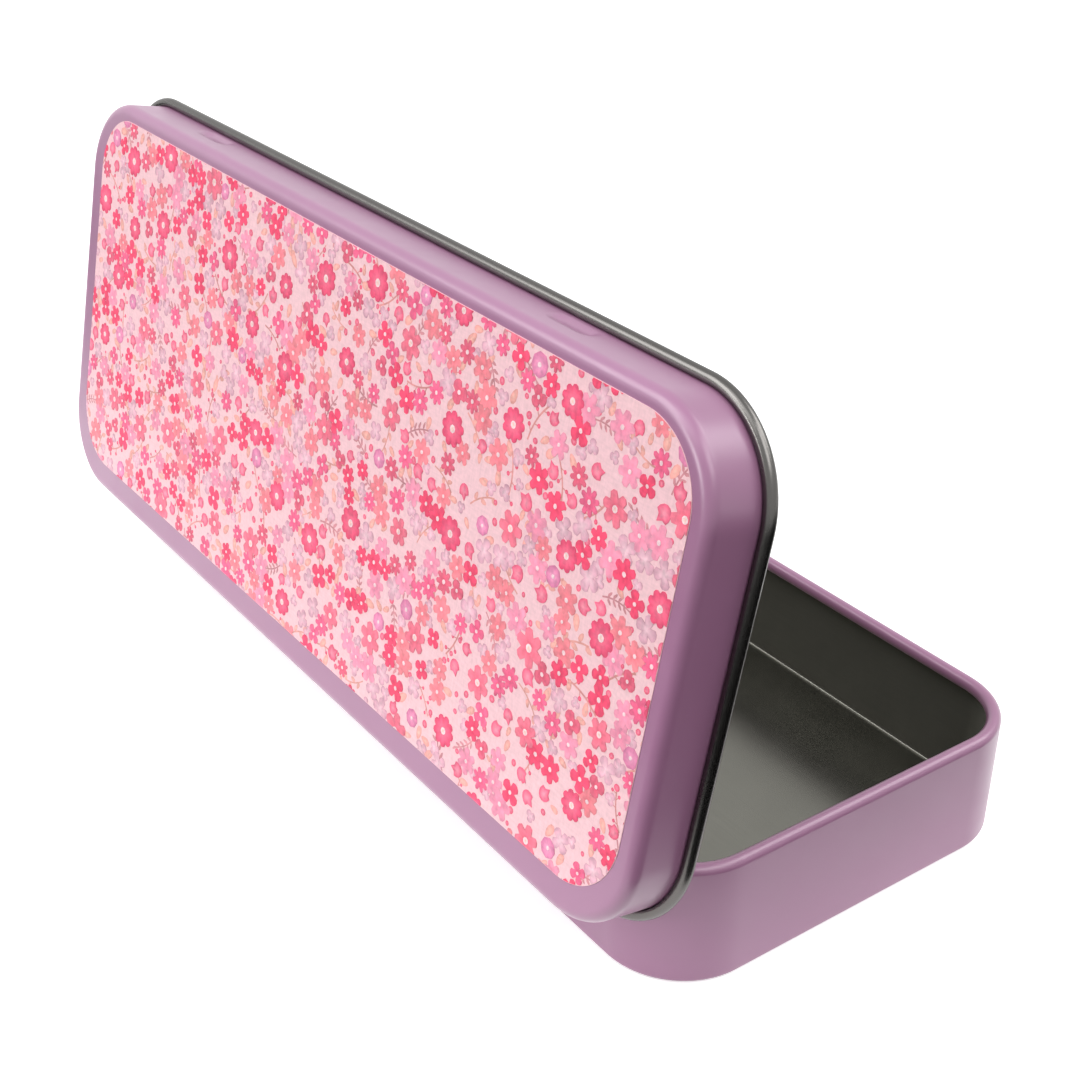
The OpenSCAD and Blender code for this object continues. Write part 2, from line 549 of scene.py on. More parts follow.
@dataclass(frozen=True)
class Outline:
    """A rectangle with rounded corners, seen from above, that a wall's side view is carried round."""

    length: float
    width: float
    radius: float
    corner_steps: int = 24

    def stations(self, front: Sequence[float] = (), back: Sequence[float] = ()) -> Stations:
        """Gives the places round the outline where a side view stands.

        Args:
            front: extra places along the front side.
            back: extra places along the back side.

        Returns:
            The middles of the bends, and the unit directions outwards, anticlockwise from the front's end.
        """
        run_x = self.length / 2 - self.radius
        run_y = self.width / 2 - self.radius
        sides = (
            ((run_x, -run_y), -90, []),
            ((run_x, run_y), 0, [((x, run_y), 90) for x in sorted(back, reverse=True)]),
            ((-run_x, run_y), 90, []),
            ((-run_x, -run_y), 180, [((x, -run_y), -90) for x in sorted(front)]),
        )
        middles, angles = [], []
        for middle, start, along in sides:
            for step in range(self.corner_steps + 1):
                middles.append(middle)
                angles.append(start + 90 * step / self.corner_steps)
            for place, angle in along:
                middles.append(place)
                angles.append(angle)
        turned = np.radians(angles)
        return np.array(middles, float), np.stack([np.cos(turned), np.sin(turned)], axis=1)

    def line(self, reach: float, start: float | None = None, end: float | None = None) -> list[Point]:
        """Gives the points of the outline at a distance from its bends' middles.

        Args:
            reach: that distance.
            start: where an open line starts on the back side, or None for all of the outline.
            end: where an open line ends on the back side, after it has gone all the way round.

        Returns:
            The points, anticlockwise.
        """
        middles, outward = self.stations()
        points = [tuple(p) for p in middles + reach * outward]
        if start is None or end is None:
            return points
        past_back = 2 * (self.corner_steps + 1)
        back_y = self.width / 2 - self.radius + reach
        return [(start, back_y), *points[past_back:], *points[:past_back], (end, back_y)]


def carried(profile: Sequence[Point], stations: Stations) -> np.ndarray:
    """Carries a side view round an outline.

    Args:
        profile: points of the side view, as distance from the bend's middle and height.
        stations: the outline's stations.

    Returns:
        An array of profile points by stations by 3.
    """
    middles, outward = stations
    rows = [np.column_stack([middles + reach * outward, np.full(len(middles), z)]) for reach, z in profile]
    return np.array(rows)


def bend(middle: Point, radius: float, start: float, end: float, steps: int) -> list[Point]:
    """Gives the points of a bent edge in a side view.

    Args:
        middle: the bend's middle.
        radius: its radius.
        start: the first point's angle in degrees.
        end: the last point's angle.
        steps: how many straight pieces it has.

    Returns:
        The points, both ends included.
    """
    angles = [math.radians(start + (end - start) * step / steps) for step in range(steps + 1)]
    return [(middle[0] + radius * math.cos(a), middle[1] + radius * math.sin(a)) for a in angles]


def sheet_between(name: str, outer: np.ndarray, inner: np.ndarray, kept: np.ndarray) -> Mesh:
    """Closes two matching grids of points into one solid sheet.

    Args:
        name: the mesh's name.
        outer: rows by columns by 3 points of one face, from the middle outwards.
        inner: the same for the other face.
        kept: one row fewer, False where the sheet is cut away.

    Returns:
        The closed mesh.
    """
    rows, columns = outer.shape[:2]
    other = rows * columns
    faces = [tuple(range(columns)), tuple(other + c for c in reversed(range(columns)))]
    for row, column in zip(*np.nonzero(kept)):
        after = (column + 1) % columns
        near, far = row * columns, (row + 1) * columns
        ring = (near + column, near + after, far + after, far + column)
        faces.append(ring)
        faces.append(tuple(other + corner for corner in reversed(ring)))
        beside = (
            row == 0 or kept[row - 1, column],
            kept[row, after],
            row + 1 < rows - 1 and kept[row + 1, column],
            kept[row, column - 1],
        )
        for edge, whole in enumerate(beside):
            if not whole:
                one, two = ring[edge], ring[(edge + 1) % 4]
                faces.append((one, other + one, other + two, two))
    points = np.concatenate([outer.reshape(-1, 3), inner.reshape(-1, 3)]).tolist()
    return closed(new_mesh(name, points, faces))


@dataclass
class RolledEdge:
    """The edge of a sheet rolled into a tube, carried along a path by Geometry Nodes."""

    radius: float
    sheet: float
    start: float
    sweep: float
    steps: int = 24

    @staticmethod
    def tree() -> Tree:
        """Builds the tree that carries the rolled section along the path.

        Returns:
            A tree with the roll's sizes as named inputs.
        """
        sizes = dict.fromkeys(("Roll radius", "Sheet", "Start", "Sweep"), "Float")
        tree, known = new_tree("rolled_edge", {**sizes, "Steps": "Int", "Material": "Material"})
        known["index"] = add(tree, "GeometryNodeInputIndex").outputs[0]
        # The outside is walked forwards and the inside backwards, so that the section closes.
        sums = (
            ("last", "SUBTRACT", "Steps", 1.0),
            ("turning", "SUBTRACT", "Steps", 0.5),
            ("inside", "GREATER_THAN", "index", "turning"),
            ("points", "MULTIPLY", "Steps", 2.0),
            ("end", "SUBTRACT", "points", 1.0),
            ("from end", "SUBTRACT", "end", "index"),
            ("way back", "SUBTRACT", "from end", "index"),
            ("moved", "MULTIPLY", "inside", "way back"),
            ("step", "ADD", "index", "moved"),
            ("share", "DIVIDE", "step", "last"),
            ("turned", "MULTIPLY", "Sweep", "share"),
            ("angle", "ADD", "Start", "turned"),
            ("inset", "MULTIPLY", "inside", "Sheet"),
            ("reach", "SUBTRACT", "Roll radius", "inset"),
            ("cosine", "COSINE", "angle"),
            ("sine", "SINE", "angle"),
            ("across", "MULTIPLY", "reach", "cosine"),
            ("up", "MULTIPLY", "reach", "sine"),
            ("down", "MULTIPLY", "up", -1.0),
        )
        for result, operation, *terms in sums:
            inputs = {number: known.get(term, term) for number, term in enumerate(terms)}
            known[result] = add(tree, "ShaderNodeMath", inputs, operation=operation).outputs[0]
        spot = add(tree, "ShaderNodeCombineXYZ", {"X": known["across"], "Y": known["down"]}).outputs[0]
        ring = add(tree, "GeometryNodeCurvePrimitiveCircle", {"Resolution": known["points"]}).outputs[0]
        section = add(tree, "GeometryNodeSetPosition", {"Geometry": ring, "Position": spot}).outputs[0]
        path = add(tree, "GeometryNodeSetCurveNormal", {"Curve": known["Geometry"]}, mode="Z_UP").outputs[0]
        swept = {"Curve": path, "Profile Curve": section, "Fill Caps": True}
        end_tree(tree, add(tree, "GeometryNodeCurveToMesh", swept).outputs[0], known["Material"])
        return tree

    def along(self, name: str, lines: Iterable[Sequence[Point]], height: float, cyclic: bool) -> Mesh:
        """Rolls the edge along level lines.

        Args:
            name: the mesh's name.
            lines: the points of each line.
            height: how high the lines lie.
            cyclic: whether each line closes.

        Returns:
            The closed mesh.
        """
        path = bpy.data.curves.new(name + "_path", "CURVE")
        path.dimensions = "3D"
        for line in lines:
            spline = path.splines.new("POLY")
            spline.points.add(len(line) - 1)
            for point, (x, y) in zip(spline.points, line):
                point.co = (x, y, height, 1)
            spline.use_cyclic_u = cyclic
        values = {
            "Roll radius": self.radius,
            "Sheet": self.sheet,
            "Start": math.radians(self.start),
            "Sweep": math.radians(self.sweep),
            "Steps": self.steps,
        }
        return closed(run_nodes(self.tree(), path, values, name))


@dataclass
class Base:
    """The drawn base: a tinplate tray, lacquered outside, with its rim rolled inwards."""

    length: float
    width: float
    height: float
    corner_radius: float = 14.05
    foot_radius: float = 0.9
    rim_radius: float = 1.2
    sheet: float = 0.3
    film: float = 0.05
    seam_gap: float = 0.35
    middle_reach: float = 1.0
    support: float = 0.4
    foot_steps: int = 8
    wall_rows: int = 5
    lacquer: Finish = SatinLacquer("lilac_lacquer", LILAC)
    metal: Finish = Tinplate("tinplate", "#7A7972", wall_from=0.35)

    @classmethod
    def from_frame(cls) -> "Base":
        """Reads the base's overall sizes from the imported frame.

        Returns:
            The base.
        """
        low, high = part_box("base_shell")
        size = (high - low) / MM
        return cls(length=size.x, width=size.y, height=size.z)

    def outline(self) -> Outline:
        """Gives the base's outline, seen from above."""
        return Outline(self.length, self.width, self.corner_radius)

    def profile(self, depth: float) -> list[Point]:
        """Gives the tray's side view at a depth in its sheet.

        Args:
            depth: how deep under the outside face.

        Returns:
            Points from the middle of the floor to the foot of the rolled rim.
        """
        foot = (self.corner_radius - self.foot_radius, self.foot_radius)
        wall = self.corner_radius - depth
        top = self.height - self.rim_radius
        levels = np.linspace(self.foot_radius + self.support, top, self.wall_rows)
        return [
            (self.middle_reach, depth),
            (foot[0] - self.support, depth),
            *bend(foot, self.foot_radius - depth, -90, 0, self.foot_steps),
            *((wall, float(level)) for level in levels),
        ]

    def skin(self, name: str, outside: float, inside: float) -> Mesh:
        """Makes one layer of the tray's sheet.

        Args:
            name: the mesh's name.
            outside: the depth of its outer face.
            inside: the depth of its inner face.

        Returns:
            The closed mesh.
        """
        stations = self.outline().stations()
        outer, inner = (carried(self.profile(depth), stations) for depth in (outside, inside))
        return sheet_between(name, outer, inner, np.ones((len(outer) - 1, outer.shape[1]), bool))

    def rim(self) -> Mesh:
        """Makes the rolled rim: up over the wall, inwards and round to its seam beside the wall.

        Returns:
            The closed mesh.
        """
        gap_edge = self.rim_radius - self.sheet - self.seam_gap
        sweep = 360 - math.degrees(math.acos(gap_edge / self.rim_radius))
        roll = RolledEdge(self.rim_radius, self.sheet, 0, sweep)
        line = self.outline().line(self.corner_radius - self.rim_radius)
        return roll.along("base_rim", [line], self.height - self.rim_radius, cyclic=True)

    def build(self) -> None:
        """Makes and dresses the base's pieces."""
        layers = (
            (self.skin("base_lacquer", 0, self.film), self.lacquer, "lilac_lacquer"),
            (self.skin("base_tinplate", self.film, self.sheet), self.metal, "bare_tinplate"),
            (self.rim(), self.lacquer, "lilac_lacquer"),
        )
        for mesh, finish, slot in layers:
            settle(mesh, Matrix.Identity(4), finish, "base", ["base_shell"])


@dataclass
class Lid:
    """The drawn lid: lacquered outside, bare inside, with its edge rolled outwards into a bare bead."""

    length: float
    width: float
    axis: tuple[float, float, float]
    open_angle: float
    depth: float = 10.7
    corner_radius: float = 15.0
    edge_radius: float = 1.9
    edge_steps: int = 12
    bead_radius: float = 1.0
    sheet: float = 0.3
    film: float = 0.05
    seam_gap: float = 0.2
    middle_reach: float = 1.0
    support: float = 0.4
    hinge_x: float = 60.0
    notch_width: float = 12.8
    notch_rise: float = 1.4
    dent_x: float = 55.0
    dent_length: float = 10.5
    dent_width: float = 4.4
    dent_depth: float = 0.5
    dent_rise: float = 2.4
    dent_margin: float = 1.0
    row_step: float = 0.3
    dent_step: float = 0.5

    @classmethod
    def from_frame(cls) -> "Lid":
        """Reads the lid's place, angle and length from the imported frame.

        Returns:
            The lid.
        """
        joint = next(j for j in frame["joints"] if j["name"] == "lid_hinge")
        x, y, z = (c / MM for c in joint["pos_m"])
        low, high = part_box("lid_shell")
        overhang = 2 * cls.bead_radius - cls.sheet
        length = (high.x - low.x) / MM - 2 * overhang
        out = cls.bead_radius - cls.sheet
        return cls(length=length, width=2 * (y - out), axis=(x, y, z), open_angle=-joint["range_deg"][0])

    @property
    def top(self) -> float:
        """Height of the closed lid's top."""
        return self.axis[2] - self.bead_radius + self.depth

    def opened(self) -> Matrix:
        """Gives the turn about the hinge from closed to where the lid stands open, in metres.

        Returns:
            The turn.
        """
        axis = Vector(self.axis) * MM
        turn = Matrix.Rotation(math.radians(-self.open_angle), 4, "X")
        return Matrix.Translation(axis) @ turn @ Matrix.Translation(-axis)

    def outline(self) -> Outline:
        """Gives the outline of the lid's skirt, seen from above."""
        return Outline(self.length, self.width, self.corner_radius)

    def profile(self, depth: float) -> list[Point]:
        """Gives the lid's side view at a depth in its sheet.

        Args:
            depth: how deep under the outside face.

        Returns:
            Points from the middle of the top to the bead.
        """
        edge = (self.corner_radius - self.edge_radius, self.top - self.edge_radius)
        skirt = self.corner_radius - depth
        notch_top = self.axis[2] + self.notch_rise
        steps = round((edge[1] - self.support - notch_top) / self.row_step)
        levels = np.linspace(edge[1] - self.support, notch_top, steps + 1)
        return [
            (self.middle_reach, self.top - depth),
            (edge[0] - self.support, self.top - depth),
            *bend(edge, self.edge_radius - depth, 90, 0, self.edge_steps),
            *((skirt, float(level)) for level in levels),
            (skirt, self.axis[2]),
        ]

    def dented(self, points: np.ndarray) -> np.ndarray:
        """Pushes the two snap dents into the front of the skirt.

        Args:
            points: rows by stations by 3, of one face of the sheet.

        Returns:
            The same points, pushed in.
        """
        middle_z = self.axis[2] + self.bead_radius + self.dent_rise
        straight = self.dent_length - self.dent_width
        x, y, z = points[..., 0], points[..., 1], points[..., 2]
        past_end = np.maximum(np.abs(np.abs(x) - self.dent_x) - straight / 2, 0)
        away = np.hypot(past_end, z - middle_z) / (self.dent_width / 2)
        bowl = np.where(away < 1, (1 - away**2) ** 2, 0)
        on_front = (y < -self.width / 2 + self.dent_margin) & (z < self.top - self.edge_radius)
        points[..., 1] = y + np.where(on_front, self.dent_depth * bowl, 0)
        return points

    def skin(self, name: str, outside: float, inside: float) -> Mesh:
        """Makes one layer of the lid's sheet, cut away at the hinges.

        Args:
            name: the mesh's name.
            outside: the depth of its outer face.
            inside: the depth of its inner face.

        Returns:
            The closed mesh.
        """
        reach = self.dent_length / 2 + self.dent_margin
        places = np.linspace(-reach, reach, round(2 * reach / self.dent_step) + 1)
        near_dents = [side * self.dent_x + float(place) for side in (-1, 1) for place in places]
        cuts = [s * self.hinge_x + t * self.notch_width / 2 for s in (-1, 1) for t in (-1, 1)]
        stations = self.outline().stations(near_dents, cuts)
        outer, inner = (self.dented(carried(self.profile(depth), stations)) for depth in (outside, inside))
        middles, outward = stations
        middle_x = (middles[:, 0] + np.roll(middles[:, 0], -1)) / 2
        at_back = outward[:, 1] > 1 - WELD
        at_hinge = at_back & (np.abs(np.abs(middle_x) - self.hinge_x) < self.notch_width / 2)
        kept = np.ones((len(outer) - 1, outer.shape[1]), bool)
        kept[-1, at_hinge] = False
        return sheet_between(name, outer, inner, kept)

    def bead(self, name: str, radius: float, thickness: float) -> Mesh:
        """Makes one layer of the rolled bead, which stops on both sides of each hinge strap.

        Args:
            name: the mesh's name.
            radius: the layer's outside radius.
            thickness: how thick it is.

        Returns:
            The closed mesh.
        """
        out = self.bead_radius - self.sheet
        sweep = 180 + math.degrees(math.acos((self.seam_gap - out) / self.bead_radius))
        roll = RolledEdge(radius, thickness, 180, sweep)
        inner_x = self.hinge_x - self.notch_width / 2
        outer_x = self.hinge_x + self.notch_width / 2
        back_y = self.width / 2 + out
        between = [(inner_x, back_y), (-inner_x, back_y)]
        around = self.outline().line(self.corner_radius + out, -outer_x, outer_x)
        return roll.along(name, [between, around], self.axis[2], cyclic=False)

    def build(self) -> None:
        """Makes and dresses the lid's pieces, opened. The bead is smoother than the flat sheet, and its tin
        is coloured darker than the sheet's, as painted shade on its reflections.
        """
        turn = self.open_angle
        lacquer = SatinLacquer("lilac_lacquer_lid", LILAC, turn)
        metal = Tinplate("tinplate_lid", "#7A7972", turn)
        # Painted shade: the bead is the same tin as the sheet, given a darker colour so that it looks darker
        # where it mirrors its surroundings.
        rolled = Tinplate("tinplate_bead", "#656361", turn, (0.982, 1.018), (0.264, 0.276), metallic=1.0)
        tin = self.sheet - self.film
        layers = (
            (self.skin("lid_lacquer", 0, self.film), lacquer, "lilac_lacquer"),
            (self.skin("lid_tinplate", self.film, self.sheet), metal, "bare_tinplate"),
            (self.bead("lid_bead", self.bead_radius, tin), rolled, "bare_tinplate"),
            (self.bead("lid_bead_lacquer", self.bead_radius - tin, self.film), lacquer, "lilac_lacquer"),
        )
        for mesh, finish, slot in layers:
            settle(mesh, self.opened(), finish, "lid", ["lid_shell"])


class Level(Enum):
    """The levels of the print in the order that they are laid out, each clear of those before it.

    Each has the least distance between its motifs, a seed, how far later levels keep from its motifs,
    and how much of the sheet it leaves bare between its clusters. Distances are in millimetres.
    """

    BLOSSOM = (12.5, 11, 3.5, 0.0)
    SPRIG = (7.2, 7, 1.5, 0.35)
    FLORET = (3.2, 23, 2.1, 0.36)
    FILLER = (2.0, 41, 0.0, 0.33)

    @property
    def spacing(self) -> float:
        """Least distance between two motifs of the level."""
        return self.value[0]

    @property
    def seed(self) -> int:
        """Seed of the level's layout."""
        return self.value[1]

    @property
    def reach(self) -> float:
        """How far the later levels keep from a motif of this one."""
        return self.value[2]

    @property
    def bare(self) -> float:
        """Value of the cluster noise under which the sheet stays bare."""
        return self.value[3]


@dataclass(frozen=True)
class SprigSizes:
    """Sizes that the print's sprigs share, on a stem that runs from -1 to 1."""

    bow: float = 0.16
    stem_width: float = 0.085
    stem_points: int = 6
    stalk_width: float = 0.055
    stalk: Point = (0.16, 0.27)
    berry_radius: float = 0.1
    berries: tuple[tuple[float, int], ...] = ((-0.62, 1), (-0.22, -1), (0.2, 1), (0.58, -1), (0.9, 1))


SPRIG_SIZES = SprigSizes()


class Motif(Enum):
    """The print's plain motifs, each drawn about its middle at a radius of 1."""

    ROUND_BLOSSOM = "round_blossom"
    DAISY = "daisy"
    DOGWOOD = "dogwood"
    DAHLIA = "dahlia"
    BUTTON = "button"
    TREFOIL = "trefoil"
    TULIP = "tulip"
    DOT = "dot"
    LEAF = "leaf"
    BRANCH = "branch"
    TWIG = "twig"
    BERRIES = "berries"
    FERN = "fern"

    @staticmethod
    def lobed(lobes: int, depth: float, power: float, per_lobe: int) -> list[Point]:
        """Draws a shape with round lobes.

        Args:
            lobes: how many lobes.
            depth: how far the bays between them reach in.
            power: below 1 for broad lobes, above 1 for narrow ones.
            per_lobe: points to a lobe.

        Returns:
            The outline's points.
        """
        count = lobes * per_lobe
        outline = []
        for index in range(count):
            angle = 2 * math.pi * index / count
            radius = 1 - depth * (1 - abs(math.cos(lobes * angle / 2)) ** power)
            outline.append((radius * math.cos(angle), radius * math.sin(angle)))
        return outline

    @staticmethod
    def petal(middle: Point, length: float, width: float, angle: float, points: int = 8) -> list[Point]:
        """Draws a leaf, a little broader behind its middle.

        Args:
            middle: its middle.
            length: its length.
            width: its width.
            angle: the way it points, in degrees.
            points: how many points it has.

        Returns:
            The outline's points.
        """
        turned = math.radians(angle)
        broader = 0.25
        outline = []
        for index in range(points):
            t = 2 * math.pi * index / points
            along = length / 2 * math.cos(t)
            across = width / 2 * math.sin(t) * (1 - broader * math.cos(t))
            x = middle[0] + along * math.cos(turned) - across * math.sin(turned)
            y = middle[1] + along * math.sin(turned) + across * math.cos(turned)
            outline.append((x, y))
        return outline

    @staticmethod
    def stroke(points: Sequence[Point], width: float) -> list[Point]:
        """Draws a line of the given width.

        Args:
            points: the points that it goes through.
            width: its width.

        Returns:
            The outline's points.
        """
        line = np.array(points, float)
        along = np.gradient(line, axis=0)
        normal = np.stack([-along[:, 1], along[:, 0]], axis=1)
        normal /= np.linalg.norm(normal, axis=1, keepdims=True)
        left, right = line + normal * width / 2, line - normal * width / 2
        return [tuple(p) for p in [*left, *right[::-1]]]

    @staticmethod
    def bow(x: float) -> float:
        """Gives the height of a sprig's bowed stem."""
        return SPRIG_SIZES.bow * (1 - x * x)

    def leaves(
        self, spots: Iterable[tuple[float, int]], shift: Point, size: Point, lean: float, points: int = 8
    ) -> list[list[Point]]:
        """Draws a sprig's leaves.

        Args:
            spots: for each leaf, its place along the stem and its side, 1 or -1.
            shift: how far its middle lies along the stem from there and away from it.
            size: its length and width.
            lean: the angle between leaf and stem, in degrees.
            points: how many points it has.

        Returns:
            The leaves' outlines.
        """
        along, away = shift
        return [self.petal((x + along, self.bow(x) + s * away), *size, s * lean, points) for x, s in spots]

    def flower(self) -> list[Point]:
        """Draws the outline of a motif that is one shape.

        Returns:
            The outline's points.
        """
        # Number of lobes, depth, power and points to a lobe.
        lobed = {
            Motif.ROUND_BLOSSOM: (6, 0.4, 0.5, 4),
            Motif.DAISY: (8, 0.42, 0.8, 4),
            Motif.DOGWOOD: (4, 0.58, 0.42, 6),
            Motif.DAHLIA: (9, 0.2, 0.6, 4),
            Motif.BUTTON: (8, 0.07, 1.0, 2),
            Motif.TREFOIL: (3, 0.5, 0.5, 6),
            Motif.DOT: (2, 0.12, 1.0, 5),
        }
        if self is Motif.LEAF:
            return self.petal((0, 0), 2.0, 1.05, 0, 10)
        if self is Motif.TULIP:
            cup = [(math.sin(t) * 0.7, -0.85 * math.cos(t)) for t in np.linspace(-1.8, 1.8, 9)]
            return [*cup, (0.3, 0.3), (0.0, 0.8), (-0.3, 0.3)]
        return self.lobed(*lobed[self])

    def outlines(self) -> tuple[list[list[Point]], list[list[Point]]]:
        """Draws the motif.

        Returns:
            Its outlines that are round about their middles, and its long ones.
        """
        along = np.linspace(-1, 1, SPRIG_SIZES.stem_points)
        stem = self.stroke([(x, self.bow(x)) for x in along], SPRIG_SIZES.stem_width)
        out, up = SPRIG_SIZES.stalk
        ends = [(x + out, self.bow(x) + side * up) for x, side in SPRIG_SIZES.berries]
        if self is Motif.BERRIES:
            size = SPRIG_SIZES.berry_radius
            berry = [(size * a, size * b) for a, b in self.lobed(1, 0.0, 1.0, 8)]
            return [[(x + a, y + b) for a, b in berry] for x, y in ends], []
        if self is Motif.TWIG:
            feet = [(x, self.bow(x)) for x, _ in SPRIG_SIZES.berries]
            return [], [stem, *(self.stroke(stalk, SPRIG_SIZES.stalk_width) for stalk in zip(feet, ends))]
        if self is Motif.BRANCH:
            spots = ((-0.5, 1), (0.0, -1), (0.45, 1), (0.85, -1))
            return self.leaves(spots, (0.1, 0.21), (0.46, 0.26), 40), [stem]
        if self is Motif.FERN:
            spots = [(x, side) for x in (-0.6, -0.22, 0.16, 0.54) for side in (-1, 1)]
            leaves = self.leaves(spots, (0.12, 0.19), (0.42, 0.17), 46, 6)
            return [*leaves, self.petal((1.1, 0.0), 0.36, 0.15, 0, 6)], [stem]
        return [self.flower()], []

    def mesh(self) -> Mesh:
        """Makes the motif as flat prisms, 1 high.

        Returns:
            The closed mesh. Each point knows its spot in the motif, and its rim: 0 inside, 1 at the edge.
        """
        points, faces, rims = [], [], []
        fanned, plain = self.outlines()
        for outline, has_middle in [(o, True) for o in fanned] + [(o, False) for o in plain]:
            first, count = len(points), len(outline)
            points += [(x, y, z) for z in (0, 1) for x, y in outline]
            rims += [1.0] * (2 * count)
            faces.append(tuple(first + i for i in reversed(range(count))))
            upper = [first + count + i for i in range(count)]
            pairs = [(i, (i + 1) % count) for i in range(count)]
            faces += [(first + one, first + two, upper[two], upper[one]) for one, two in pairs]
            if has_middle:
                middle = len(points)
                points.append((*np.mean(outline, axis=0), 1))
                rims.append(0.0)
                faces += [(upper[one], upper[two], middle) for one, two in pairs]
            else:
                faces.append(tuple(upper))
        mesh = new_mesh(self.value, [tuple(map(float, p)) for p in points], faces)
        mesh.attributes.new("rim", "FLOAT", "POINT").data.foreach_set("value", rims)
        spots = np.array(points, np.float32)
        mesh.attributes.new("spot", "FLOAT_VECTOR", "POINT").data.foreach_set("vector", spots.ravel())
        return mesh


@dataclass(frozen=True)
class InkLayer:
    """One ink of the print: its colours, the level that it prints, and what it draws there.

    It takes those of the level's places whose random draw lies in its share. Its radius is that of its
    smallest and its largest motif in millimetres, and its edge is how much darker it dries there.
    """

    name: str
    colour: str
    inner: str
    level: Level
    motifs: tuple[Motif, ...]
    share: Point
    radius: Point
    edge: float = 0.2


INKS = (
    InkLayer("ferns", "#DC949C", "#DC949C", Level.SPRIG, (Motif.FERN,), (0.0, 0.3), (2.7, 3.7), 0.05),
    InkLayer("branches", "#F5ADA5", "#F7BAB0", Level.SPRIG, (Motif.BRANCH,), (0.3, 0.62), (2.8, 3.9), 0.1),
    InkLayer("twigs", "#E79C9A", "#E79C9A", Level.SPRIG, (Motif.TWIG,), (0.62, 1.0), (2.8, 3.9), 0.0),
    InkLayer("berries", "#F5587C", "#F77F98", Level.SPRIG, (Motif.BERRIES,), (0.62, 1.0), (2.8, 3.9), 0.08),
    InkLayer("leaves", "#F8AEA6", "#FABFB3", Level.FILLER, (Motif.LEAF,), (0.0, 0.48), (0.9, 1.4), 0.1),
    InkLayer("specks", "#F56A88", "#F78FA5", Level.FILLER, (Motif.DOT,), (0.48, 0.7), (0.4, 0.7), 0.08),
    InkLayer("lilacs", "#EBB2C4", "#F3CAD5", Level.FILLER, (Motif.TREFOIL,), (0.7, 1.0), (1.0, 1.45), 0.14),
    InkLayer("mauves", "#EAB2C4", "#F4CBD5", Level.FLORET, (Motif.DOGWOOD,), (0.74, 0.87), (1.7, 2.3), 0.15),
    InkLayer(
        "blushes", "#FCA2BC", "#FB95B3", Level.FLORET,
        (Motif.ROUND_BLOSSOM,), (0.0, 0.13), (2.0, 2.7), 0.08,
    ),
    InkLayer(
        "salmons", "#FC929C", "#FB8492", Level.FLORET,
        (Motif.ROUND_BLOSSOM,), (0.13, 0.26), (1.9, 2.6), 0.08,
    ),
    InkLayer("orchids", "#EB8BB4", "#F2A5C6", Level.FLORET, (Motif.BUTTON,), (0.26, 0.31), (1.5, 1.9), 0.12),
    InkLayer(
        "pinks", "#FB7299", "#F8628C", Level.FLORET,
        (Motif.DAISY, Motif.DOGWOOD), (0.31, 0.45), (1.7, 2.3), 0.1,
    ),
    InkLayer(
        "roses", "#EC6E88", "#E65C79", Level.FLORET,
        (Motif.DAISY, Motif.TREFOIL), (0.45, 0.55), (1.6, 2.1), 0.1,
    ),
    InkLayer(
        "carmines", "#FC567B", "#F8496E", Level.FLORET,
        (Motif.ROUND_BLOSSOM, Motif.DOGWOOD), (0.55, 0.74), (1.7, 2.4), 0.08,
    ),
    InkLayer("tulips", "#FA7292", "#FB9BAF", Level.FLORET, (Motif.TULIP,), (0.87, 1.0), (1.5, 2.0), 0.1),
    InkLayer("dahlias", "#F55A80", "#F87C97", Level.BLOSSOM, (Motif.DAHLIA,), (0.0, 0.6), (2.2, 3.0), 0.12),
    InkLayer(
        "peonies", "#FA8298", "#F86E88", Level.BLOSSOM,
        (Motif.ROUND_BLOSSOM,), (0.6, 1.0), (2.4, 3.2), 0.1,
    ),
    InkLayer("hearts", "#FCDDE1", "#FCDDE1", Level.FLORET, (Motif.DOT,), (0.0, 0.74), (0.28, 0.42), 0.0),
    InkLayer("eyes", "#FCDFE2", "#F8CBBD", Level.BLOSSOM, (Motif.BUTTON,), (0.0, 1.0), (0.5, 0.7), 0.0),
)


